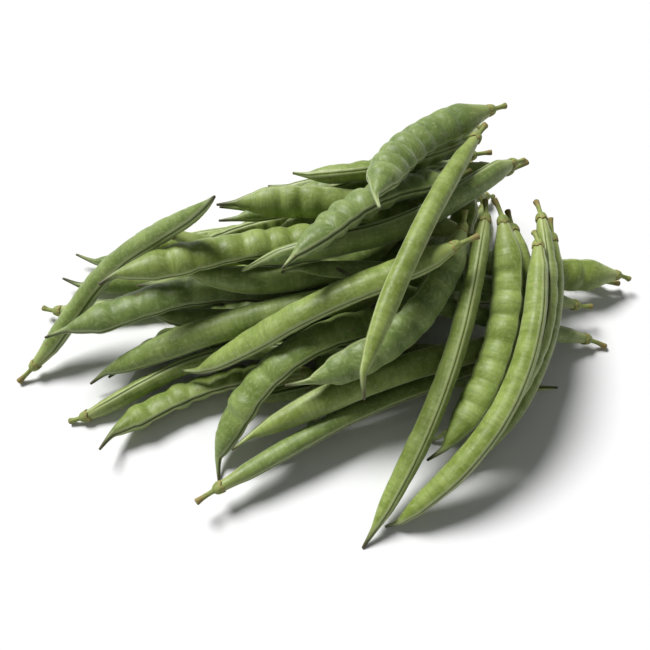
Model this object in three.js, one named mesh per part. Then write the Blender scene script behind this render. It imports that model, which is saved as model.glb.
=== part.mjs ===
// Green bean bundle: a loose bunch of freshly picked green bean pods, lying in a low heap.
// Millimetres, +Z up. The origin is at the middle of the heap's footprint, on the surface.
// The sizes below are those of full-grown pods. The finished heap is brought to PICKED_SIZE of them.
// Every pod is drawn from its kind's sizes, grown along a bent and twisted middle line, and then
// dropped on the heap, where it slides and rolls as a rigid body until it lies on the others.
import * as THREE from 'three';

// ---- The heap: a bed of pods, and a fan of pods over it whose stalk ends gather ----
const POD_COUNT = 54;
const RANDOM_SEED = 205;
const PICKED_SIZE = 0.85;         // pods picked young, as a share of the full-grown sizes
const BED_COUNT = 38;             // pods that lie under the fan
const BED_HALF_LENGTH = 62;       // their middles fall inside an oval of this half length along X
const BED_HALF_WIDTH = 40;        // and this half width along Y
const BED_HEADING = 204;          // degrees from +X in which most of them point, stalk to tip
const BED_SPREAD = 16;            // those at the right end point this much further round
const BED_BACK = 12;              // those at the back point this much nearer to -X
const BED_SCATTER = 8;            // random degrees either side
const REVERSED_EVERY = 5;         // one bed pod in so many lies the other way round
const FAN_STALKS = { x: 72, y: 44, scatter: 18 };  // where the upper pods' stalk ends gather
const FAN_HEADING = { first: 190, last: 262 };     // the upper pods point between these
const POD_GAP = 0.42;             // clear gap that pods keep to each other
const PRESSED_FLAT = 0.75;        // a pod's underside this close to the surface is flat on it

// ---- The kinds of pod: least and greatest sizes, and how deep the skin dips between seeds ----
const KINDS = {
  slender: { length: [108, 142], halfWidth: [4.0, 4.9], flatness: 0.86, seeds: 0, valley: 0 },
  plain: { length: [96, 134], halfWidth: [5.3, 6.1], flatness: 0.78, seeds: 0, valley: 0 },
  lumpy: { length: [88, 126], halfWidth: [6.5, 7.5], flatness: 0.74, seeds: 8, valley: 0.2 },
};
const KIND_ORDER = ['plain', 'lumpy', 'slender', 'lumpy', 'slender'];
const SEAM_VALLEY = 0.3;          // the seams dip between seeds by this share of the flats' dip

// ---- Stretches of a pod, in order from the cut stalk to the tip ----
const STALK_LENGTH = [4.5, 8];
const CALYX_LENGTH = 3.2;
const NECK_LENGTH = [12, 17];
const TAPER_LENGTH = [16, 22];
const BEAK_LENGTH = [6.5, 9.5];

const STALK_RADIUS = 0.95;
const STALK_END_RADIUS = 1.3;     // the stalk swells where it broke off the plant
const STALK_SWELLING = 0.4;       // over this share of its length
const CALYX_ROOT_RADIUS = 1.45;
const CALYX_RADIUS = 2.5;
const NECK_START_RADIUS = 1.75;
const BEAK_ROOT_RADIUS = 1.35;
const BEAK_TIP_RADIUS = 0.45;
const BEAK_POINT = 0.36;          // the tip's point stands this far past the last ring
const NECK_LEAD = 0.25;           // the skin starts to widen this share of the neck before it
const TAPER_OVERRUN = 0.2;        // and still narrows this share of the taper past its end
const SEEDS_START = 0.62;         // share of the neck after which the seeds begin
const SEEDS_STOP = 0.5;           // share of the taper that holds no seeds

// ---- How a pod bends, in degrees ----
const LEAST_BEND = 7;
const EXTRA_BEND = 66;            // most pods are nearly straight, and a few are hooked
const SWAY = 14;                  // out of the plane of the bend, and back
const TWIST = 55;
const SEAM_TURN = 45;             // of the seams out of the plane of the bend
const STALK_BEND = 28;
const BEAK_BEND = [10, 45];
const END_BENDING = 0.6;          // share of the mean bend that the ends take
const MIDDLE_BENDING = 0.8;       // extra share that the middle takes

// ---- The mesh ----
const SIDES = 8;
const PLAIN_BODY_SPANS = 5;       // between rings along a body with no seeds showing
const SPANS_PER_SEED = 2;
const SKIN_RING = 0.3;            // the skin's first ring stands this far past the calyx
const RING_SHARES = { stalk: 0.45, calyx: 0.55, neck: 0.32, taper: 0.2 };

// ---- The colours, as hue, saturation and lightness, and how far they drift between pods ----
const SKIN_HUE = 0.25;
const HUE_DRIFT = 0.012;
const SKIN_SATURATION = 0.3;
const SKIN_LIGHTNESS = 0.36;
const LIGHTNESS_DRIFT = 0.035;

// ---- How the pods settle ----
const SPINE_STEP = 0.5;
const STATION_STEP = 2.5;         // spacing of the sections that feel contact
const CLOSE_STEP = 1;             // the same in the last clearing, so that no calyx is missed
const CLOSE_GAP = 0.25;           // clear gap that the last clearing leaves at least
const DROP_HEIGHT = 14;
const SETTLE_STEPS = 520;
const FALL_STEP = 0.5;
const CONTACT_PASSES = 4;
const CLEARING_PASSES = 60;
const CLEAR_ENOUGH = 0.01;
const GRIP = 0.18;                // friction between pods, and between pod and surface
const SEARCH_REACH = 20;
const SEARCH_EVERY = 8;

function makeRandom(seed) {
  let state = seed;
  return () => {
    state = (state + 0x6d2b79f5) | 0;
    let mixed = Math.imul(state ^ (state >>> 15), 1 | state);
    mixed = (mixed + Math.imul(mixed ^ (mixed >>> 7), 61 | mixed)) ^ mixed;
    return ((mixed ^ (mixed >>> 14)) >>> 0) / 4294967296;
  };
}

const random = makeRandom(RANDOM_SEED);
const between = (low, high) => low + (high - low) * random();
const eitherSide = (amount) => between(-amount, amount);
const radians = THREE.MathUtils.degToRad;
const smooth = THREE.MathUtils.smoothstep;
const blend = THREE.MathUtils.lerp;

function shuffled(count) {
  const order = Array.from({ length: count }, (_, index) => index);
  for (let last = count - 1; last > 0; last -= 1) {
    const pick = Math.floor(random() * (last + 1));
    [order[last], order[pick]] = [order[pick], order[last]];
  }
  return order;
}

// ---------------------------------------------------------------- pod shape

function drawPod(index) {
  const kind = KINDS[KIND_ORDER[index % KIND_ORDER.length]];
  const pod = {
    length: between(...kind.length),
    halfWidth: between(...kind.halfWidth),
    flatness: kind.flatness,
    seeds: kind.seeds,
    valley: kind.valley,
    stalk: between(...STALK_LENGTH),
    neck: between(...NECK_LENGTH),
    taper: between(...TAPER_LENGTH),
    beak: between(...BEAK_LENGTH),
    bend: radians(LEAST_BEND + EXTRA_BEND * random() ** 2),
    sway: radians(eitherSide(SWAY)),
    twist: radians(eitherSide(TWIST)),
    seamTurn: radians(eitherSide(SEAM_TURN)),
    stalkBend: radians(eitherSide(STALK_BEND)),
    beakBend: radians(between(...BEAK_BEND)),
  };
  pod.calyxEnd = pod.stalk + CALYX_LENGTH;
  pod.beakRoot = pod.length - pod.beak;
  pod.seedsStart = pod.calyxEnd + SEEDS_START * pod.neck;
  pod.seedsEnd = pod.beakRoot - SEEDS_STOP * pod.taper;
  pod.spine = growSpine(pod);
  return pod;
}

// The pod's bent and twisted middle line, from the stalk's cut end to the tip. In each frame X
// runs across the seams, Y across the flats and Z along the pod.
function growSpine(pod) {
  const frames = [];
  const place = new THREE.Vector3();
  const heading = new THREE.Quaternion();
  const roll = new THREE.Quaternion();
  const turnStep = new THREE.Quaternion();
  const euler = new THREE.Euler();
  const forward = new THREE.Vector3(0, 0, 1);
  const count = Math.round(pod.length / SPINE_STEP);
  for (let i = 0; i <= count; i += 1) {
    const distance = i * SPINE_STEP;
    const along = distance / pod.length;
    roll.setFromAxisAngle(forward, pod.seamTurn + pod.twist * (along - 0.5));
    frames.push({ place: place.clone(), turn: heading.clone().multiply(roll) });
    let bending = END_BENDING + MIDDLE_BENDING * Math.sin(Math.PI * along);
    bending *= pod.bend / pod.length;
    if (distance < pod.calyxEnd) {
      bending += pod.stalkBend / pod.calyxEnd;
    }
    if (distance > pod.beakRoot) {
      bending += pod.beakBend / pod.beak;
    }
    const swaying = ((2 * Math.PI * pod.sway) / pod.length) * Math.cos(2 * Math.PI * along);
    euler.set(swaying * SPINE_STEP, bending * SPINE_STEP, 0);
    heading.multiply(turnStep.setFromEuler(euler));
    place.addScaledVector(forward.clone().applyQuaternion(heading), SPINE_STEP);
  }
  return frames;
}

// Radius of the round stalk and calyx, up to where the neck starts.
function stalkRadius(pod, distance) {
  if (distance <= pod.stalk) {
    const past = smooth(distance, 0, STALK_SWELLING * pod.stalk);
    return blend(STALK_END_RADIUS, STALK_RADIUS, past);
  }
  const along = (distance - pod.stalk) / CALYX_LENGTH;
  return blend(CALYX_ROOT_RADIUS, CALYX_RADIUS, Math.sin(0.5 * Math.PI * along));
}

// Half width across the seams and half thickness across the flats of the seeded body, which
// rises from the neck and tapers to the root of the beak.
function bodySection(pod, distance) {
  const { calyxEnd, beakRoot, neck, taper, halfWidth } = pod;
  const neckRise = smooth(distance, calyxEnd - NECK_LEAD * neck, calyxEnd + neck);
  const tipFall = smooth(distance, beakRoot - taper, beakRoot + TAPER_OVERRUN * taper);
  const fromNeck = blend(NECK_START_RADIUS, halfWidth, neckRise);
  const fromTip = blend(halfWidth, BEAK_ROOT_RADIUS, tipFall);
  let width = Math.min(fromNeck, fromTip);
  const fullness = (width - BEAK_ROOT_RADIUS) / (halfWidth - BEAK_ROOT_RADIUS);
  let thickness = width * blend(1, pod.flatness, fullness);
  if (distance > pod.seedsStart && distance < pod.seedsEnd) {
    const seed = (pod.seeds * (distance - pod.seedsStart)) / (pod.seedsEnd - pod.seedsStart);
    const dip = pod.valley * (0.5 + 0.5 * Math.cos(2 * Math.PI * seed));
    width *= 1 - SEAM_VALLEY * dip;
    thickness *= 1 - dip;
  }
  return { width, thickness };
}

function sectionAt(pod, distance) {
  if (distance <= pod.calyxEnd) {
    const radius = stalkRadius(pod, distance);
    return { width: radius, thickness: radius };
  }
  if (distance >= pod.beakRoot) {
    const along = (distance - pod.beakRoot) / pod.beak;
    const radius = blend(BEAK_ROOT_RADIUS, BEAK_TIP_RADIUS, along);
    return { width: radius, thickness: radius };
  }
  return bodySection(pod, distance);
}

// A station is one section of the pod: its frame on the spine and its half sizes.
function stationAt(pod, distance) {
  const exact = distance / SPINE_STEP;
  const low = Math.min(Math.floor(exact), pod.spine.length - 2);
  const part = Math.min(exact - low, 1);
  const before = pod.spine[low];
  const after = pod.spine[low + 1];
  return {
    place: before.place.clone().lerp(after.place, part),
    turn: before.turn.clone().slerp(after.turn, part),
    ...sectionAt(pod, distance),
  };
}

// ---------------------------------------------------------------- pod mesh

// Distances of the mesh's rings: enough for the stalk, calyx, neck, each seed and the beak.
function ringDistances(pod) {
  const { stalk, calyxEnd, neck, beakRoot, taper } = pod;
  const bodySpans = pod.seeds > 0 ? SPANS_PER_SEED * pod.seeds : PLAIN_BODY_SPANS;
  const rings = [0, RING_SHARES.stalk * stalk, stalk];
  rings.push(stalk + RING_SHARES.calyx * CALYX_LENGTH, calyxEnd);
  rings.push(calyxEnd + SKIN_RING, calyxEnd + RING_SHARES.neck * neck);
  for (let i = 0; i <= bodySpans; i += 1) {
    rings.push(blend(pod.seedsStart, pod.seedsEnd, i / bodySpans));
  }
  rings.push(beakRoot - RING_SHARES.taper * taper, beakRoot, pod.length);
  return rings;
}

function ringPoints(station) {
  return Array.from({ length: SIDES }, (_, side) => {
    const angle = (2 * Math.PI * side) / SIDES;
    const across = station.width * Math.cos(angle);
    const flat = station.thickness * Math.sin(angle);
    return new THREE.Vector3(across, flat, 0).applyQuaternion(station.turn).add(station.place);
  });
}

// A closed skin over the rings, with a point at each end.
function podGeometry(pod) {
  const rings = ringDistances(pod).map((distance) => ringPoints(stationAt(pod, distance)));
  const cut = stationAt(pod, 0).place;
  const tip = stationAt(pod, pod.length);
  const tipRise = new THREE.Vector3(0, 0, BEAK_POINT).applyQuaternion(tip.turn);
  const points = [cut, ...rings.flat(), tipRise.add(tip.place)];

  const triangles = [];
  const corner = (ring, side) => 1 + ring * SIDES + (side % SIDES);
  const last = rings.length - 1;
  for (let side = 0; side < SIDES; side += 1) {
    triangles.push(0, corner(0, side + 1), corner(0, side));
    for (let ring = 0; ring < last; ring += 1) {
      triangles.push(corner(ring, side), corner(ring, side + 1), corner(ring + 1, side));
      triangles.push(corner(ring, side + 1), corner(ring + 1, side + 1), corner(ring + 1, side));
    }
    triangles.push(points.length - 1, corner(last, side), corner(last, side + 1));
  }
  const geometry = new THREE.BufferGeometry().setFromPoints(points);
  geometry.setIndex(triangles);
  geometry.computeVertexNormals();
  return geometry;
}

// ---------------------------------------------------------------- a pod as a rigid body

// Adds one station's share to the sums of an inertia matrix, about the pod's middle.
function addInertia(sums, station, share) {
  const { x, y, z } = station.place;
  const own = 0.25 * (station.width ** 2 + station.thickness ** 2);
  sums[0] += share * (y * y + z * z + own);
  sums[4] += share * (x * x + z * z + own);
  sums[8] += share * (x * x + y * y + own);
  sums[1] -= share * x * y;
  sums[3] -= share * x * y;
  sums[2] -= share * x * z;
  sums[6] -= share * x * z;
  sums[5] -= share * y * z;
  sums[7] -= share * y * z;
}

// Stations all along a pod, `step` apart, each with the directions that its oval lies in.
function stationsAlong(pod, step) {
  const stations = [];
  for (let distance = 0; distance < pod.length; distance += step) {
    stations.push(stationAt(pod, distance));
  }
  stations.push(stationAt(pod, pod.length));
  for (const station of stations) {
    station.across = new THREE.Vector3(1, 0, 0).applyQuaternion(station.turn);
    station.flat = new THREE.Vector3(0, 1, 0).applyQuaternion(station.turn);
    station.along = new THREE.Vector3(0, 0, 1).applyQuaternion(station.turn);
  }
  return stations;
}

// Its stations are kept about its middle. `ease` says how readily it turns about each axis.
function makeBody(pod) {
  const stations = stationsAlong(pod, STATION_STEP);
  let weight = 0;
  const middle = new THREE.Vector3();
  for (const station of stations) {
    const area = station.width * station.thickness;
    weight += area;
    middle.addScaledVector(station.place, area);
  }
  middle.divideScalar(weight);
  const inertia = new THREE.Matrix3().multiplyScalar(0);
  for (const station of stations) {
    station.place.sub(middle);
    addInertia(inertia.elements, station, (station.width * station.thickness) / weight);
  }
  return {
    stations,
    step: STATION_STEP,
    gap: POD_GAP,
    middle,
    ease: inertia.invert(),
    place: new THREE.Vector3(),
    turn: new THREE.Quaternion(),
  };
}

// The same body, with the same place and turn, but felt at close stations.
function feltClosely(pod, body) {
  const stations = stationsAlong(pod, CLOSE_STEP);
  stations.forEach((station) => station.place.sub(body.middle));
  return { ...body, stations, step: CLOSE_STEP, gap: CLOSE_GAP };
}

function stationInWorld(body, station) {
  return {
    place: station.place.clone().applyQuaternion(body.turn).add(body.place),
    across: station.across.clone().applyQuaternion(body.turn),
    flat: station.flat.clone().applyQuaternion(body.turn),
    along: station.along.clone().applyQuaternion(body.turn),
    width: station.width,
    thickness: station.thickness,
  };
}

// How far a station's oval reaches from its centre in a direction.
function reachOf(station, direction) {
  const wide = station.width * station.across.dot(direction);
  const thick = station.thickness * station.flat.dot(direction);
  return Math.hypot(wide, thick);
}

// Moves a rigid pod so that the point at `arm` from its middle yields by `amount` in `direction`.
const lever = new THREE.Vector3();
const spin = new THREE.Vector3();
const unturn = new THREE.Quaternion();
const smallTurn = new THREE.Quaternion();
function nudge(body, arm, direction, amount) {
  lever.crossVectors(arm, direction);
  spin.copy(lever).applyQuaternion(unturn.copy(body.turn).conjugate());
  spin.applyMatrix3(body.ease).applyQuaternion(body.turn);
  const share = amount / (1 + lever.dot(spin));
  body.place.addScaledVector(direction, share);
  spin.multiplyScalar(0.5 * share);
  smallTurn.set(spin.x, spin.y, spin.z, 0).multiply(body.turn);
  body.turn.x += smallTurn.x;
  body.turn.y += smallTurn.y;
  body.turn.z += smallTurn.z;
  body.turn.w += smallTurn.w;
  body.turn.normalize();
}

// ---------------------------------------------------------------- contact and settling

// The point of a station's oval that touches something on the other side of `normal`.
function touchingArm(body, station, normal) {
  const reach = reachOf(station, normal);
  const wide = (station.width ** 2 * station.across.dot(normal)) / reach;
  const thick = (station.thickness ** 2 * station.flat.dot(normal)) / reach;
  const arm = station.place.clone().sub(body.place);
  return arm.addScaledVector(station.across, -wide).addScaledVector(station.flat, -thick);
}

// Takes one contact out along its normal, then lets friction hold the point where it was
// `before` the step, as far as the grip allows.
function resolveContact(body, before, station, normal, depth) {
  const arm = touchingArm(body, station, normal);
  nudge(body, arm, normal, depth);
  if (!before) {
    return;
  }
  const local = arm.clone().applyQuaternion(unturn.copy(body.turn).conjugate());
  const slip = local.clone().applyQuaternion(body.turn).add(body.place);
  slip.sub(local.applyQuaternion(before.turn).add(before.place));
  slip.addScaledVector(normal, -slip.dot(normal));
  const length = slip.length();
  if (length > 0) {
    nudge(body, arm, slip.divideScalar(-length), Math.min(length, GRIP * depth));
  }
}

// How deep a body's station presses into another pod's, taken as a short stretch of that pod.
const apart = new THREE.Vector3();
function pressAgainst(body, station, other) {
  apart.copy(station.place).sub(other.place);
  const half = 0.5 * body.step;
  apart.addScaledVector(other.along, -THREE.MathUtils.clamp(apart.dot(other.along), -half, half));
  const distance = apart.length();
  if (distance > station.width + other.width + body.gap) {
    return 0;
  }
  apart.divideScalar(distance);
  return reachOf(station, apart) + reachOf(other, apart) + body.gap - distance;
}

// One pass over a pod's stations against the surface and their neighbours. Returns the worst
// depth that it met.
const up = new THREE.Vector3(0, 0, 1);
function contactPass(body, before, neighbours) {
  let worst = 0;
  body.stations.forEach((local, index) => {
    let station = stationInWorld(body, local);
    const sunk = reachOf(station, up) - station.place.z;
    if (sunk > 0) {
      worst = Math.max(worst, sunk);
      resolveContact(body, before, station, up, sunk);
      station = stationInWorld(body, local);
    }
    for (const other of neighbours[index]) {
      const depth = pressAgainst(body, station, other);
      if (depth > 0) {
        worst = Math.max(worst, depth);
        resolveContact(body, before, station, apart.clone(), depth);
        station = stationInWorld(body, local);
      }
    }
  });
  return worst;
}

function findNeighbours(body, heap) {
  return body.stations.map((local) => {
    const { place } = stationInWorld(body, local);
    return heap.filter((other) => other.place.distanceToSquared(place) < SEARCH_REACH ** 2);
  });
}

// Moves a pod just clear of the surface and of the heap.
function clear(body, heap) {
  const neighbours = findNeighbours(body, heap);
  let worst = Infinity;
  for (let pass = 0; pass < CLEARING_PASSES && worst > CLEAR_ENOUGH; pass += 1) {
    worst = contactPass(body, null, neighbours);
  }
}

// Lets one pod sink onto the surface and the pods that already lie in the heap.
function settle(body, heap) {
  let neighbours = [];
  for (let step = 0; step < SETTLE_STEPS; step += 1) {
    if (step % SEARCH_EVERY === 0) {
      neighbours = findNeighbours(body, heap);
    }
    const before = { place: body.place.clone(), turn: body.turn.clone() };
    body.place.z -= FALL_STEP;
    for (let pass = 0; pass < CONTACT_PASSES; pass += 1) {
      contactPass(body, before, neighbours);
    }
  }
  clear(body, heap);
}

// Goes over the finished heap in the order in which it was dropped, and moves each pod clear of
// those under it where they come too close between the stations that they settled on.
function clearHeap(dropped) {
  const heap = [];
  for (const { pod, body } of dropped) {
    const close = feltClosely(pod, body);
    clear(close, heap);
    heap.push(...close.stations.map((local) => stationInWorld(close, local)));
  }
}

// ---------------------------------------------------------------- where each pod is dropped

// Holds a pod level, its chord along a heading in degrees, rolled at random.
function aim(body, heading) {
  const chord = body.stations[body.stations.length - 1].place.clone();
  chord.sub(body.stations[0].place).normalize();
  const along = new THREE.Vector3(Math.cos(radians(heading)), Math.sin(radians(heading)), 0);
  body.turn.setFromUnitVectors(chord, along);
  const roll = new THREE.Quaternion().setFromAxisAngle(along, between(0, 2 * Math.PI));
  body.turn.premultiply(roll);
  return along;
}

// A pod of the bed: anywhere in an oval, along the heap's flow at that place.
function aimInBed(body, index) {
  const spread = Math.sqrt(random());
  const round = between(0, 2 * Math.PI);
  const x = spread * Math.cos(round);
  const y = spread * Math.sin(round);
  const reversed = index % REVERSED_EVERY === REVERSED_EVERY - 1 ? 180 : 0;
  const flow = BED_HEADING + BED_SPREAD * x - BED_BACK * y;
  aim(body, flow + eitherSide(BED_SCATTER) + reversed);
  body.place.set(x * BED_HALF_LENGTH, y * BED_HALF_WIDTH, 0);
}

// A pod of the fan: its stalk end near the gathering point, its heading at its own part of the fan.
function aimInFan(body, pod, order) {
  const part = (order + random()) / (POD_COUNT - BED_COUNT);
  const along = aim(body, blend(FAN_HEADING.first, FAN_HEADING.last, part));
  const { x, y, scatter } = FAN_STALKS;
  body.place.set(x + eitherSide(scatter), y + eitherSide(scatter), 0);
  body.place.addScaledVector(along, 0.5 * pod.length);
}

// ---------------------------------------------------------------- assembly

// Fresh pod skin, from a darker bluish green to a paler yellowish one.
function podMaterial() {
  const tint = eitherSide(1);
  const hue = SKIN_HUE - HUE_DRIFT * tint;
  const lightness = SKIN_LIGHTNESS + LIGHTNESS_DRIFT * tint;
  const colour = new THREE.Color().setHSL(hue, SKIN_SATURATION, lightness);
  return new THREE.MeshStandardMaterial({ color: colour, roughness: 0.5, metalness: 0 });
}

function podMesh({ pod, body, material, name }) {
  const mesh = new THREE.Mesh(podGeometry(pod), material);
  mesh.name = name;
  mesh.geometry.translate(-body.middle.x, -body.middle.y, -body.middle.z);
  mesh.position.copy(body.place);
  mesh.quaternion.copy(body.turn);
  pressFlat(mesh);
  return mesh;
}

// The underside that nearly touches the surface is pressed flat on it.
function pressFlat(mesh) {
  mesh.updateMatrixWorld();
  const back = mesh.matrixWorld.clone().invert();
  const position = mesh.geometry.getAttribute('position');
  const point = new THREE.Vector3();
  for (let i = 0; i < position.count; i += 1) {
    point.fromBufferAttribute(position, i).applyMatrix4(mesh.matrixWorld);
    if (point.z < PRESSED_FLAT) {
      point.z = 0;
      point.applyMatrix4(back);
      position.setXYZ(i, point.x, point.y, point.z);
    }
  }
}

function buildBundle() {
  const fanOrder = shuffled(POD_COUNT - BED_COUNT);
  const dropped = [];
  const heap = [];
  let top = 0;
  for (let index = 0; index < POD_COUNT; index += 1) {
    const pod = drawPod(index);
    const body = makeBody(pod);
    if (index < BED_COUNT) {
      aimInBed(body, index);
    } else {
      aimInFan(body, pod, fanOrder[index - BED_COUNT]);
    }
    body.place.z = top + DROP_HEIGHT;
    settle(body, heap);
    for (const local of body.stations) {
      const station = stationInWorld(body, local);
      top = Math.max(top, station.place.z + station.width);
      heap.push(station);
    }
    const name = `pod_${String(index + 1).padStart(2, '0')}`;
    dropped.push({ pod, body, material: podMaterial(), name });
  }
  clearHeap(dropped);

  const bundle = new THREE.Group();
  bundle.add(...dropped.map(podMesh));
  bundle.scale.setScalar(PICKED_SIZE);
  const box = new THREE.Box3().setFromObject(bundle, true);
  const centre = box.getCenter(new THREE.Vector3());
  bundle.position.set(-centre.x, -centre.y, 0);
  return bundle;
}

export default buildBundle();
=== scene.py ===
# Looks of the green bean bundle. Every packed pod is replaced by a finely modelled one on the same
# middle line: stalk, lobed calyx, neck, seeded body with two seams, and beak.
import bmesh
import bpy
import math
import random
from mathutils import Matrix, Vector, noise


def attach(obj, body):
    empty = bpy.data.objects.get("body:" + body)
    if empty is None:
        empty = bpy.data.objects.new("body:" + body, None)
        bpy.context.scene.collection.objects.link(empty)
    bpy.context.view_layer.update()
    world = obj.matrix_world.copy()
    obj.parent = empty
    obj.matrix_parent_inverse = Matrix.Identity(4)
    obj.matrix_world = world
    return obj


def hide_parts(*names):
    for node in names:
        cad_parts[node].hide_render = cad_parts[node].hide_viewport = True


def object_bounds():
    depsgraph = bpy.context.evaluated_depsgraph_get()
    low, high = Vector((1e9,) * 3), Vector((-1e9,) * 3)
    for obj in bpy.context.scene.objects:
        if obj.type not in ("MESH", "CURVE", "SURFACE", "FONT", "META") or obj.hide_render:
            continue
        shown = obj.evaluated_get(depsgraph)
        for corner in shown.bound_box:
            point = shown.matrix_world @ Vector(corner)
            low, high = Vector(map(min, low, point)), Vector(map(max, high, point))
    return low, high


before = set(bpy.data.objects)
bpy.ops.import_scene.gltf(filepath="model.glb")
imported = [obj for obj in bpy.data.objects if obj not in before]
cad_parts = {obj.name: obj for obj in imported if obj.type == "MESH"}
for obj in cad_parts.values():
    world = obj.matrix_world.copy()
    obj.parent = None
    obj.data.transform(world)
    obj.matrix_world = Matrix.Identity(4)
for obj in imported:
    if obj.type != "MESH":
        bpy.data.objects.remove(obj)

CAD_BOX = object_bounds()
RANDOM_SEED = 5

# Lengths in mm are those of full-grown pods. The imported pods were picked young, at this share of
# them, and MM takes one such mm to the frame's metres, both when a pod is read and when it is built.
PICKED_SIZE = 0.85
MM = 0.001 * PICKED_SIZE

# ---- the studio, in metres ----
LENS = 39.5                       # of the camera, in mm, on a sensor this wide
SENSOR = 36.0
CAMERA_ELEVATION = 57.0           # degrees above the surface, looking along +Y
FRAME_SHARE = 0.985               # of the frame's width that the bundle's box takes up
AIM = Vector((-0.0034, 0.0, 0.0128))    # where the camera looks
KEY_FROM = (-0.48, 0.5, 0.9)      # the light comes from the left, from behind and from above
KEY_WIDTH = 22                    # degrees across, so that its shadows are soft
KEY_STRENGTH = 4.5
SKY_LOW, SKY_HIGH = 0.95, 0.15    # strength of the sky at the horizon and overhead
SKY_FADE = 0.3                    # rise over the horizon by which it has dimmed
FLOOR_SIZE = 40.0

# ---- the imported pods: rings of this many corners between two end points ----
RING_CORNERS = 8
END_VALENCE = 7                   # edges that an end point has at least
SAME_CORNER = 0.002               # mm within which two corners are one
RING_AT = {"stalk end": 2, "calyx end": 4, "skin start": 5, "seeds start": 7,
           "seeds end": -4, "beak root": -2}

# ---- the fine pod, in mm but for angles and shares ----
RING_SPACING = 0.85               # along the body
LOOK_AHEAD = 0.4                  # either way along the middle line, to find its direction
SEAM_ANGLES = [0.0, 0.07, 0.16, 0.28, 0.45, 0.70, 0.98, 1.27]   # radians from a seam to a flat
SEAM_DEPTH = {"belly": 0.42, "back": 0.26}    # of the groove along each seam
SEAM_HALF_WIDTH = 0.42
FLANK_DEPTH = 0.24                # of the hollow beside each seam's two ridges
FLANK_PLACE = 2.3                 # from the seam, on a pod of the half width below
FLANK_WIDTH = 1.1                 # half width of it on the same pod
FLANK_BODY = 5.5
SLIM_RELIEF = 0.35                # share of that depth left on a pod's slim ends
BODY_SLIM, BODY_FULL = 0.3, 0.85  # shares of its greatest width at which it is slim and full
RELIEF_START = 6.0                # past the calyx, over which the seams and flanks set in
UNEVEN = 0.3                      # by which the skin wanders in, at most
UNEVEN_LENGTH = 11.0              # along the pod from one such hollow to the next
UNEVEN_SHIFT = 5.7                # sets the hollows of one pod apart from those of the next
CUT_HOLLOW = 0.15                 # depth of the snapped stalk's end
TIP_SHORT = 0.3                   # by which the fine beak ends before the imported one's last ring
TIP_POINT = 0.3                   # height of the point on it

# ---- the seeds ----
LUMPY_SECTIONS = 20               # a packed pod with more sections than this has lumps
LUMPY_SEEDS = 8
SEED_SPACING = 9.5                # from one seed to the next on the other pods
SEED_DRIFT = 2.4                  # by which a seed may lie off its even place
SEED_DRIFT_LENGTH = 17.0          # along the pod over which that changes
SEED_SHIFT = 7.3                  # sets the drift on one pod apart from that on the next
SEED_FULLNESS = 2.4               # above 1, the dips between seeds are narrower than the seeds
SEED_SHRINKING = 0.75             # share of a seed's height that an empty place lacks
LUMPY_DIP = 0.08                  # share of the thickness by which a dip goes in, on lumpy pods
OTHER_DIPS = (0.03, 0.11)         # and the range of it on the others
LUMP_FULLNESS = 1.6               # as SEED_FULLNESS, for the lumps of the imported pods
LUMP_LOSS = 0.16                  # share of the thickness that an empty place lacks on them
LUMP_LOSS_ACROSS = 0.35           # share of that loss that the width has

# ---- the stalk and its calyx ----
STALK_ROUGHNESS = 0.05            # share of the radius
ROUGH_ROUND = 3.0                 # how much closer the roughness is round the stalk
# Its snapped end: mm along it, and radius. Then the rest: share of its length, and radius.
SNAPPED_END = [(0.0, 0.75), (0.05, 1.12), (0.35, 1.26)]
STALK = [(0.2, 1.14), (0.35, 1.0), (0.5, 0.93), (0.65, 0.9), (0.8, 0.9), (0.93, 0.93)]
CALYX_LOBES = 5
CALYX_RADIUS = 2.45
# The cup below its lip: share of the calyx's length, and radius.
CALYX_CUP = [(0.0, 1.1), (0.07, 1.5), (0.2, 1.85), (0.4, 2.15), (0.65, 2.35)]
CUP_LOBE = 0.1                    # depth of the lobes at the end of that, from none at its start
# The lip's rings, out and back inside: mm past the calyx's end, mm less than its radius, and
# depth of the lobes.
CALYX_LIP = [(-0.15, 0.0, 0.3), (0.3, 0.04, 0.5), (0.36, 0.2, 0.5), (-0.2, 0.45, 0.2)]
SKIN_START = 0.4                  # where the skin starts past the calyx's end

# ---- the two skins' places on a pod ----
STALK_SKIN, POD_SKIN = 0, 1

# ---- marks stored on the pods' corners, for the materials ----
# seam_gap: mm to the nearest seam; seed: 1 over a seed, 0 between two; tone: -1 for a cool green
# pod, 1 for a warm one; from_neck: mm past the calyx; from_tip: mm from the tip, as a share of the
# length that has wilted.
MARKS = ["seam_gap", "seed", "tone", "from_neck", "from_tip"]
BACK_SEAM = 0.12                  # mm that the shallower back seam counts as further away
NO_SEAM = 3.0                     # mm to a seam on the stalk, which has none
NO_SEED = 0.5                     # mark of skin that lies neither over a seed nor between two
WILTED = (1.2, 10.0)              # mm of tip wilted on every pod, and the most that is added
PATTERN_SHIFT = 100.0             # mm that set one pod's patterns apart from the next one's

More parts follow.
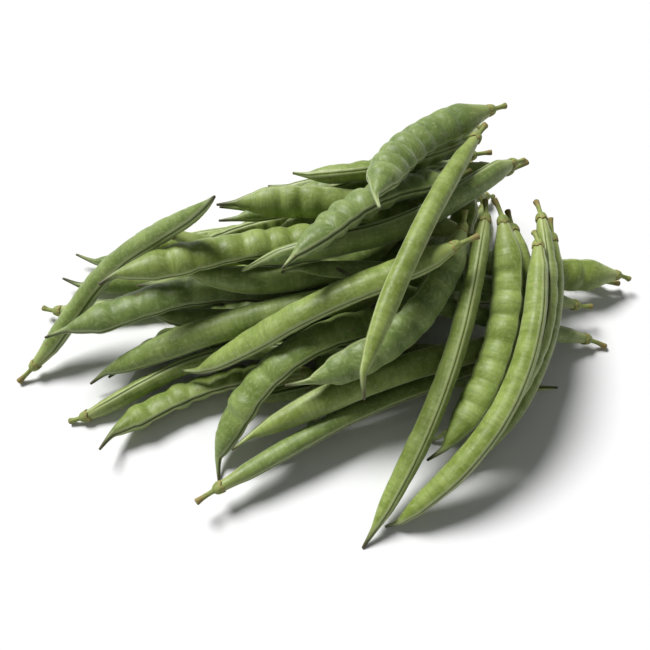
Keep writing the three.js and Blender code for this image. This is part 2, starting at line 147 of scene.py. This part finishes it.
# ---- patterns of the skins: size in mm, detail, and how much closer along and round the pod ----
# The cross veins and the pores are drawn several times coarser than they grow, so that they show.
GRAIN = 0.55                      # strength of each finer detail, as a share of the one before
SKIN_PATTERNS = {
    "mottling": (9.0, 2.0, 1.0, 1.0),
    "flecks": (1.1, 3.0, 0.6, 1.3),
    "cross veins": (0.9, 2.0, 1.0, 0.16),
    "scars": (2.6, 2.0, 0.5, 1.0),
    "dullness": (4.0, 2.0, 1.0, 1.0),
    "wrinkles": (1.6, 3.0, 1.9, 0.45),
    "pores": (0.5, 2.0, 1.0, 1.0),
}
STALK_PATTERNS = {
    "streaks": (1.2, 3.0, 0.35, 1.6),
    "dry spots": (0.8, 2.0, 1.0, 1.0),
    "ribs": (0.7, 3.0, 0.25, 2.0),
}

# ---- coats of colour: colour, strength, and where each shows ----
COOL_GREENS = ("#5E7334", "#758845")     # the two greens that a pod is mottled with
WARM_GREENS = ("#70822F", "#8A9C4C")
MOTTLED = ("mottling", 0.35, 0.68)
SKIN_COATS = [
    ("#A6B37A", 0.45, [("flecks", 0.45, 0.75)]),
    # painted highlight: the skin is painted paler over each seed's bulge, where the lumps catch the
    # light
    ("#A8B870", 0.16, [("seed", 0.35, 1.0)]),
    ("#4F632A", 0.30, [("cross veins", 0.42, 0.7)]),
    ("#B6BE8C", 0.55, [("seam_gap", 1.9, 0.9), ("seam_gap", 0.35, 0.75)]),   # ridges by the seam
    ("#38451B", 0.85, [("seam_gap", 0.5, 0.12)]),                            # the seam's thread
    ("#A2AE66", 0.50, [("from_neck", 15.0, 0.5)]),                           # pale neck
    ("#4B5230", 0.75, [("from_tip", 1.3, 0.2)]),                             # wilting tip
    ("#41391F", 0.80, [("from_tip", 0.6, 0.15)]),                            # its dry end
    ("#6F6135", 0.55, [("scars", 0.69, 0.76)]),
]
STALK_COATS = [
    ("#9AA25C", 1.00, [("streaks", 0.35, 0.7)]),
    ("#A08A55", 0.80, [("from_neck", -1.3, 0.1), ("dry spots", 0.3, 0.6)]),  # the cup's lip
    ("#8A7344", 0.75, [("from_neck", -5.5, -9.0)]),                          # the snapped end
]


# ------------------------------------------------------------------ small helpers

def linear(hex_colour):
    """An sRGB hex colour as Blender's linear red, green, blue and alpha."""
    values = [int(hex_colour[i:i + 2], 16) / 255 for i in (1, 3, 5)]
    return [v / 12.92 if v <= 0.04045 else ((v + 0.055) / 1.055) ** 2.4 for v in values] + [1.0]


def smooth(value, low, high):
    """0 up to low, 1 from high on, and a soft rise between."""
    part = min(max((value - low) / (high - low), 0.0), 1.0)
    return part * part * (3 - 2 * part)


def bump_at(value, middle, half_width):
    """1 at the middle, falling to 0 over about two half widths."""
    return math.exp(-((value - middle) / half_width) ** 2)


# ------------------------------------------------------------------ reading a packed pod

def levels_from(start):
    """The corners of a mesh by their number of edges from one corner."""
    levels, seen, edge = [], {start}, [start]
    while edge:
        levels.append(edge)
        further = []
        for corner in edge:
            for link in corner.link_edges:
                other = link.other_vert(corner)
                if other not in seen:
                    seen.add(other)
                    further.append(other)
        edge = further
    return levels


def packed_rings(node):
    """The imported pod's rings of corners, in full-grown mm, from the stalk's cut end to the tip."""
    shape = bmesh.new()
    shape.from_mesh(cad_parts[node].data)
    bmesh.ops.remove_doubles(shape, verts=shape.verts, dist=SAME_CORNER * MM)
    for start in shape.verts:
        if len(start.link_edges) < END_VALENCE:
            continue
        levels = levels_from(start)
        if len(levels[-1]) > RING_CORNERS:
            tip = max(levels[-1], key=lambda corner: len(corner.link_edges))
            levels[-1].remove(tip)
            levels.append([tip])
        counts = {len(level) for level in levels[1:-1]}
        if counts == {RING_CORNERS} and len(levels[-1]) == 1:
            break
    else:
        raise ValueError(f"{node} has no plain rings")
    rings = [[corner.co / MM for corner in level] for level in levels]
    shape.free()
    if ring_size(rings[1]) < ring_size(rings[-2]):
        rings.reverse()
    return rings[1:-1]


def middle_of(ring):
    return sum(ring, Vector()) / len(ring)


def ring_size(ring):
    middle = middle_of(ring)
    return max((corner - middle).length for corner in ring)


def towards(ring, middle, direction):
    """The corner of a ring that lies most nearly in a direction from its middle."""
    return max(ring, key=lambda corner: (corner - middle).normalized().dot(direction))


def packed_sections(node):
    """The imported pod's sections: distance along it, middle, direction of the belly seam, and half
    sizes."""
    rings = packed_rings(node)
    middles = [middle_of(ring) for ring in rings]
    widest = max(range(len(rings)), key=lambda i: ring_size(rings[i]))
    seams = [None] * len(rings)
    seams[widest] = (max(rings[widest], key=lambda c: (c - middles[widest]).length)
                     - middles[widest]).normalized()
    order = list(range(widest, len(rings))) + list(range(widest - 1, -1, -1))
    sections = [None] * len(rings)
    travelled = [0.0]
    for before, after in zip(middles, middles[1:]):
        travelled.append(travelled[-1] + (after - before).length)
    for i in order:
        low, high = max(i - 1, 0), min(i + 1, len(rings) - 1)
        ahead = (middles[high] - middles[low]).normalized()
        known = seams[i] or seams[i - 1 if i > widest else i + 1]
        seam_corner = towards(rings[i], middles[i], known)
        other_corner = towards(rings[i], middles[i], -known)
        seam = seam_corner - other_corner
        seam = (seam - ahead * seam.dot(ahead)).normalized()
        seams[i] = seam
        flat = ahead.cross(seam)
        top_corner = towards(rings[i], middles[i], flat)
        under_corner = towards(rings[i], middles[i], -flat)
        sections[i] = {
            "distance": travelled[i],
            "middle": middles[i],
            "seam": seam,
            "width": (seam_corner - other_corner).length / 2,
            "thickness": (top_corner - under_corner).length / 2,
        }
    put_belly_inside(sections)
    return sections


def put_belly_inside(sections):
    """Turns the seam directions to the belly seam, the one on the inside of the pod's bend."""
    first, last = sections[0], sections[-1]
    inside = 0.0
    for section in sections:
        chord = first["middle"].lerp(last["middle"], section["distance"] / last["distance"])
        inside += section["seam"].dot(chord - section["middle"])
    if inside < 0:
        for section in sections:
            section["seam"] = -section["seam"]


def slopes(distances, values):
    """Slope of a smooth curve through values at uneven distances."""
    found = []
    for i in range(len(values)):
        low, high = max(i - 1, 0), min(i + 1, len(values) - 1)
        found.append((values[high] - values[low]) / (distances[high] - distances[low]))
    return found


class SmoothLine:
    """A smooth curve through numbers or points given at uneven distances."""

    def __init__(self, distances, values):
        self.distances, self.values = distances, values
        self.slopes = slopes(distances, values)

    def at(self, distance):
        last = len(self.distances) - 2
        i = 0
        while i < last and distance > self.distances[i + 1]:
            i += 1
        span = self.distances[i + 1] - self.distances[i]
        t = min(max((distance - self.distances[i]) / span, 0.0), 1.0)
        return (self.values[i] * (2 * t**3 - 3 * t**2 + 1)
                + self.slopes[i] * (span * (t**3 - 2 * t**2 + t))
                + self.values[i + 1] * (3 * t**2 - 2 * t**3)
                + self.slopes[i + 1] * (span * (t**3 - t**2)))


# ------------------------------------------------------------------ one fine pod

class Pod:
    """The lines and sizes that a fine pod follows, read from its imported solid."""

    def __init__(self, node, number):
        sections = packed_sections(node)
        distances = [section["distance"] for section in sections]
        self.dice = random.Random(RANDOM_SEED * 1000 + number)
        self.number = number
        self.stalk_end = distances[RING_AT["stalk end"]]
        self.calyx_end = distances[RING_AT["calyx end"]]
        self.seeds_start = distances[RING_AT["seeds start"]]
        self.seeds_end = distances[RING_AT["seeds end"]]
        self.beak_root = distances[RING_AT["beak root"]]
        self.length = distances[-1]
        self.beak_end = self.length - TIP_SHORT
        self.lumpy = len(sections) > LUMPY_SECTIONS
        self.middle = SmoothLine(distances, [section["middle"] for section in sections])
        self.seam = SmoothLine(distances, [section["seam"] for section in sections])
        skin = sections[RING_AT["skin start"]:]
        places = [section["distance"] for section in skin]
        self.width = SmoothLine(places, [section["width"] for section in skin])
        self.thickness = SmoothLine(places, [section["thickness"] for section in skin])
        self.fullest = max(section["width"] for section in skin)
        self.seeds = LUMPY_SEEDS if self.lumpy else round(self.seeded() / SEED_SPACING)
        self.seed_dip = LUMPY_DIP if self.lumpy else self.dice.uniform(*OTHER_DIPS)
        self.shrunk = [self.dice.uniform(0, 1) ** 2 for _ in range(self.seeds + 2)]
        self.tone = self.dice.uniform(-1, 1)
        self.wilted = WILTED[0] + WILTED[1] * self.dice.random() ** 2

    def seeded(self):
        """Length of the stretch that holds the seeds."""
        return self.seeds_end - self.seeds_start

    def seed_place(self, distance):
        """How many seeds lie before this distance, the spacing being a little uneven."""
        where = Vector((distance / SEED_DRIFT_LENGTH, SEED_SHIFT * self.number, 0))
        drift = SEED_DRIFT * noise.noise(where)
        return (distance + drift - self.seeds_start) / self.seeded() * self.seeds

    def seed_share(self, distance):
        """1 over a full seed and 0 between two, inside the seeded stretch."""
        place = self.seed_place(distance)
        if not 0 < place < self.seeds:
            return NO_SEED
        full = 1 - abs(2 * (place % 1) - 1) ** SEED_FULLNESS
        return full * (1 - SEED_SHRINKING * self.shrunk[int(place)])

    def body_at(self, distance):
        """Half width and half thickness, read where the uneven seeds put that section."""
        place = self.seed_place(distance)
        if not self.lumpy or not 0 < place < self.seeds:
            return self.width.at(distance), self.thickness.at(distance)
        whole = int(place)
        aside = 2 * (place - whole) - 1
        aside = math.copysign(abs(aside) ** LUMP_FULLNESS, aside)
        distance = self.seeds_start + (whole + 0.5 + 0.5 * aside) / self.seeds * self.seeded()
        loss = LUMP_LOSS * self.shrunk[whole] * (1 - aside * aside)
        width = self.width.at(distance) * (1 - LUMP_LOSS_ACROSS * loss)
        return width, self.thickness.at(distance) * (1 - loss)

    def frame_at(self, distance):
        """The section's middle, and the directions of its belly seam, its flat and the tip."""
        middle = self.middle.at(distance)
        ahead = (self.middle.at(min(distance + LOOK_AHEAD, self.length))
                 - self.middle.at(max(distance - LOOK_AHEAD, 0.0))).normalized()
        seam = self.seam.at(distance)
        seam = (seam - ahead * seam.dot(ahead)).normalized()
        return middle, seam, ahead.cross(seam), ahead


def ring_angles():
    """Angles round a section, closest at the two seams."""
    quarter = SEAM_ANGLES
    half = quarter + [math.pi / 2] + [math.pi - angle for angle in reversed(quarter[1:])]
    return half + [math.pi + angle for angle in half]


ANGLES = ring_angles()


def seam_angle(angle):
    """Radians to the nearest seam, and whether that is the belly seam."""
    turned = angle % math.pi
    to_belly = math.cos(angle) > 0
    return min(turned, math.pi - turned), to_belly


def skin_ring(pod, distance, fade):
    """One ring of the pod's skin, and what the skin's material needs to know at each corner."""
    width, thickness = pod.body_at(distance)
    fullness = smooth(width / pod.fullest, BODY_SLIM, BODY_FULL)
    seed = pod.seed_share(distance)
    thickness *= 1 - pod.seed_dip * (1 - seed) * fullness
    middle, seam, flat, _ = pod.frame_at(distance)
    scale = width / FLANK_BODY
    relief = (SLIM_RELIEF + (1 - SLIM_RELIEF) * fullness) * fade
    corners = []
    for angle in ANGLES:
        near, belly = seam_angle(angle)
        arc = near * thickness
        depth = SEAM_DEPTH["belly" if belly else "back"] * bump_at(arc, 0, SEAM_HALF_WIDTH)
        depth += FLANK_DEPTH * bump_at(arc, FLANK_PLACE * scale, FLANK_WIDTH * scale)
        shifted = math.sin(angle) + UNEVEN_SHIFT * pod.number
        hollow = noise.noise(Vector((distance / UNEVEN_LENGTH, math.cos(angle), shifted)))
        wander = UNEVEN * (0.5 + 0.5 * hollow)
        depth = depth * relief + wander * fullness
        x, y = width * math.cos(angle), thickness * math.sin(angle)
        outward = Vector((math.cos(angle) / width, math.sin(angle) / thickness)).normalized()
        x -= depth * outward.x
        y -= depth * outward.y
        corners.append({
            "place": middle + seam * x + flat * y,
            "along": distance,
            "around": (angle - math.pi) * thickness,
            "seam": arc if belly else arc + BACK_SEAM,
            "seed": NO_SEED + (seed - NO_SEED) * math.sin(near),
        })
    return corners


def stalk_ring(pod, distance, radius, lobe=0.0):
    """One round ring of the stalk or calyx. A lobe moves its corners along the pod in waves."""
    middle, seam, flat, ahead = pod.frame_at(distance)
    corners = []
    for angle in ANGLES:
        wave = lobe * math.cos(CALYX_LOBES * angle + pod.number)
        shifted = ROUGH_ROUND * math.sin(angle) + pod.number
        where = Vector((distance, ROUGH_ROUND * math.cos(angle), shifted))
        rough = 1 + STALK_ROUGHNESS * noise.noise(where)
        x, y = radius * rough * math.cos(angle), radius * rough * math.sin(angle)
        corners.append({
            "place": middle + seam * x + flat * y + ahead * wave,
            "along": distance,
            "around": (angle - math.pi) * radius,
            "seam": NO_SEAM,
            "seed": NO_SEED,
        })
    return corners


def stalk_rings(pod):
    """The snapped stalk, and the cup of the calyx up to its lobed lip and back inside it."""
    stalk, calyx = pod.stalk_end, pod.calyx_end
    rings = [stalk_ring(pod, distance, radius) for distance, radius in SNAPPED_END]
    for share, radius in STALK:
        rings.append(stalk_ring(pod, share * stalk, radius))
    for share, radius in CALYX_CUP:
        rings.append(stalk_ring(pod, stalk + share * (calyx - stalk), radius, CUP_LOBE * share))
    for past, less, lobe in CALYX_LIP:
        rings.append(stalk_ring(pod, calyx + past, CALYX_RADIUS - less, lobe))
    return rings


def skin_rings(pod):
    """The skin from inside the calyx to the tip of the beak."""
    start, stop = pod.calyx_end + SKIN_START, pod.beak_end
    count = round((stop - start) / RING_SPACING)
    rings = []
    for i in range(count + 1):
        distance = start + (stop - start) * i / count
        fade = smooth(distance, start, start + RELIEF_START)
        fade *= 1 - smooth(distance, pod.beak_root, stop)
        rings.append(skin_ring(pod, distance, fade))
    return rings


def closed_skin(ring_count, stalk_count):
    """The faces over a row of rings and the two end points that follow them, and each face's place
    among the skins: the stalk's up to the calyx's last ring, the pod's after it."""
    sides, last = len(ANGLES), ring_count - 1
    cut_end, tip_end = ring_count * sides, ring_count * sides + 1
    faces, skins = [], []
    for ring in range(last):
        for side in range(sides):
            after = (side + 1) % sides
            low, high = ring * sides, (ring + 1) * sides
            faces.append((low + side, low + after, high + after, high + side))
            skins.append(STALK_SKIN if ring < stalk_count - 1 else POD_SKIN)
    for side in range(sides):
        after = (side + 1) % sides
        faces.append((cut_end, after, side))
        skins.append(STALK_SKIN)
        faces.append((tip_end, last * sides + side, last * sides + after))
        skins.append(POD_SKIN)
    return faces, skins


def build_pod(node, number):
    """The fine pod that stands for a packed one: one closed skin, in two materials."""
    pod = Pod(node, number)
    stalk, skin = stalk_rings(pod), skin_rings(pod)
    rings = stalk + skin
    cut_end, tip_end = pod.frame_at(0.0), pod.frame_at(pod.beak_end)
    points = [corner["place"] for ring in rings for corner in ring]
    points.append(cut_end[0] + cut_end[3] * CUT_HOLLOW)
    points.append(tip_end[0] + tip_end[3] * TIP_POINT)
    faces, skins = closed_skin(len(rings), len(stalk))
    mesh = bpy.data.meshes.new(f"fine_{node}")
    mesh.from_pydata([(p.x * MM, p.y * MM, max(p.z, 0.0) * MM) for p in points], [], faces)
    mesh.polygons.foreach_set("material_index", skins)
    mesh.polygons.foreach_set("use_smooth", [True] * len(faces))
    keep_marks(mesh, pod, rings)
    piece = bpy.data.objects.new(f"fine_{node}", mesh)
    bpy.context.scene.collection.objects.link(piece)
    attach(piece, "root")
    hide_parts(node)
    return piece


def keep_marks(mesh, pod, rings):
    """Stores on each corner where it is on its pod, for the materials to read."""
    corners = [corner for ring in rings for corner in ring] + [rings[0][0], rings[-1][0]]
    shift = PATTERN_SHIFT * pod.number
    marks = {
        "seam_gap": [corner["seam"] for corner in corners],
        "seed": [corner["seed"] for corner in corners],
        "tone": [pod.tone] * len(corners),
        "from_neck": [corner["along"] - pod.calyx_end for corner in corners],
        "from_tip": [(pod.length - corner["along"]) / pod.wilted for corner in corners],
    }
    for name, values in marks.items():
        mesh.attributes.new(name, "FLOAT", "POINT").data.foreach_set("value", values)
    place = mesh.attributes.new("pod_place", "FLOAT_VECTOR", "POINT")
    flat = [v for corner in corners for v in (corner["along"] + shift, corner["around"], shift)]
    place.data.foreach_set("vector", flat)


# ------------------------------------------------------------------ materials

def add(tree, kind, inputs=None, **settings):
    """Adds a node with its settings, and sets or links its inputs."""
    node = tree.nodes.new(kind)
    for name, value in settings.items():
        setattr(node, name, value)
    for key, value in (inputs or {}).items():
        if isinstance(value, bpy.types.NodeSocket):
            tree.links.new(value, node.inputs[key])
        else:
            node.inputs[key].default_value = value
    return node


def read_marks(tree):
    """The marks stored on a pod's corners, as sockets by name."""
    found = {}
    for name in MARKS:
        found[name] = add(tree, "ShaderNodeAttribute", attribute_name=name).outputs["Fac"]
    return found


def read_patterns(tree, patterns):
    """Soft noise laid out in millimetres along and round the pod, as sockets by name."""
    place = add(tree, "ShaderNodeAttribute", attribute_name="pod_place").outputs["Vector"]
    found = {}
    for name, (size, detail, along, around) in patterns.items():
        spot = add(tree, "ShaderNodeVectorMath", {0: place, 1: (along, around, 1.0)},
                   operation="MULTIPLY")
        grain = {"Vector": spot.outputs[0], "Scale": 1 / size, "Detail": detail, "Roughness": GRAIN}
        found[name] = add(tree, "ShaderNodeTexNoise", grain).outputs["Fac"]
    return found


def lay_coats(tree, body, sources, coats):
    """Lays coats of colour over a first one. A coat shows by its strength where its sources are
    high: each one counts from nothing at its first limit to all at its second."""
    for colour, strength, limits in coats:
        shows = strength
        for source, nothing, all_of_it in limits:
            share = add(tree, "ShaderNodeMapRange", {0: sources[source], 1: nothing, 2: all_of_it},
                        interpolation_type="SMOOTHSTEP")
            shows = add(tree, "ShaderNodeMath", {0: shows, 1: share.outputs[0]},
                        operation="MULTIPLY").outputs[0]
        over = linear(colour) if isinstance(colour, str) else colour
        body = add(tree, "ShaderNodeMix", {0: shows, 6: body, 7: over}, data_type="RGBA").outputs[2]
    return body


def new_material(name):
    material = bpy.data.materials.new(name)
    material.use_nodes = True
    tree = material.node_tree
    shader = next(n for n in tree.nodes if n.type == "BSDF_PRINCIPLED")
    return material, tree, shader


def pod_skin():
    """Fresh bean pod skin, grown: satin and finely downy, so highlights are broad and pale. The
    seams show as a dark thread between two pale ridges, and the skin is painted paler over the
    seeds, a painted highlight on their bulges."""
    material, tree, shader = new_material("fresh bean pod skin")
    sources = read_marks(tree) | read_patterns(tree, SKIN_PATTERNS)
    cool, warm = [lay_coats(tree, linear(dark), sources, [(pale, 1.0, [MOTTLED])])
                  for dark, pale in (COOL_GREENS, WARM_GREENS)]
    body = lay_coats(tree, cool, sources, [(warm, 1.0, [("tone", -1.0, 1.0)])] + SKIN_COATS)
    tree.links.new(body, shader.inputs["Base Color"])
    rough = add(tree, "ShaderNodeMapRange", {0: sources["dullness"], 1: 0.3, 2: 0.7, 3: 0.42, 4: 0.56})
    tree.links.new(rough.outputs[0], shader.inputs["Roughness"])
    relief = add(tree, "ShaderNodeMath", {0: sources["pores"], 1: 0.35, 2: sources["wrinkles"]},
                 operation="MULTIPLY_ADD")
    bump = add(tree, "ShaderNodeBump",
               {"Height": relief.outputs[0], "Strength": 0.35, "Distance": 0.25 * MM})
    tree.links.new(bump.outputs[0], shader.inputs["Normal"])
    shader.inputs["IOR"].default_value = 1.42
    shader.inputs["Sheen Weight"].default_value = 0.18
    shader.inputs["Sheen Roughness"].default_value = 0.45
    return material


def stalk_skin():
    """Bean stalk and calyx, drying since they were picked: dull green, tan at the cup's lip and
    brown where the stalk snapped."""
    material, tree, shader = new_material("drying bean stalk")
    sources = read_marks(tree) | read_patterns(tree, STALK_PATTERNS)
    body = lay_coats(tree, linear("#71803F"), sources, STALK_COATS)
    tree.links.new(body, shader.inputs["Base Color"])
    bump = add(tree, "ShaderNodeBump",
               {"Height": sources["ribs"], "Strength": 0.5, "Distance": 0.3 * MM})
    tree.links.new(bump.outputs[0], shader.inputs["Normal"])
    shader.inputs["Roughness"].default_value = 0.66
    shader.inputs["IOR"].default_value = 1.42
    return material


def pale_floor():
    """A seamless sheet of pale matt paper."""
    material, _, shader = new_material("pale matt paper")
    shader.inputs["Base Color"].default_value = linear("#E6E6E6")
    shader.inputs["Roughness"].default_value = 0.9
    return material


# ------------------------------------------------------------------ the studio

def build_floor():
    mesh = bpy.data.meshes.new("floor")
    half = FLOOR_SIZE / 2
    corners = [(-half, -half, 0), (half, -half, 0), (half, half, 0), (-half, half, 0)]
    mesh.from_pydata(corners, [], [(0, 1, 2, 3)])
    mesh.materials.append(pale_floor())
    floor = bpy.data.objects.new("floor", mesh)
    bpy.context.scene.collection.objects.link(floor)


def soft_sun(name, source, width, strength):
    """A white light from far away in the direction of source, width degrees across."""
    light = bpy.data.lights.new(name, "SUN")
    light.angle = math.radians(width)
    light.energy = strength
    lamp = bpy.data.objects.new(name, light)
    lamp.rotation_euler = Vector(source).to_track_quat("Z", "Y").to_euler()
    bpy.context.scene.collection.objects.link(lamp)


def build_studio():
    """One soft light from above, behind and to the left, and a sky that pales to the horizon."""
    soft_sun("key", KEY_FROM, KEY_WIDTH, KEY_STRENGTH)
    world = bpy.data.worlds.new("pale sky")
    world.use_nodes = True
    tree = world.node_tree
    sky = tree.nodes["Background"]
    sky.inputs["Color"].default_value = linear("#F6F8FA")
    aim = add(tree, "ShaderNodeTexCoord").outputs["Generated"]
    height = add(tree, "ShaderNodeSeparateXYZ", {0: aim}).outputs["Z"]
    fading = {0: height, 1: 0.0, 2: SKY_FADE, 3: SKY_LOW, 4: SKY_HIGH}
    strength = add(tree, "ShaderNodeMapRange", fading, interpolation_type="SMOOTHSTEP")
    tree.links.new(strength.outputs[0], sky.inputs["Strength"])
    bpy.context.scene.world = world


def build_camera():
    """Looks along +Y and down, as one looks into a market box, with the bundle filling the frame."""
    low, high = CAD_BOX
    elevation = math.radians(CAMERA_ELEVATION)
    back = Vector((0, -math.cos(elevation), math.sin(elevation)))
    distance = (high.x - low.x) / FRAME_SHARE * LENS / SENSOR
    data = bpy.data.cameras.new("camera")
    data.lens, data.sensor_width = LENS, SENSOR
    camera = bpy.data.objects.new("camera", data)
    camera.location = AIM + back * distance
    camera.rotation_euler = (-back).to_track_quat("-Z", "Y").to_euler()
    bpy.context.scene.collection.objects.link(camera)
    bpy.context.scene.camera = camera


build_camera()
build_studio()
build_floor()
SKINS = {STALK_SKIN: stalk_skin(), POD_SKIN: pod_skin()}
for number, node in enumerate(sorted(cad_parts)):
    fine = build_pod(node, number)
    for place in sorted(SKINS):
        fine.data.materials.append(SKINS[place])
bpy.context.scene.view_settings.view_transform = "Standard"
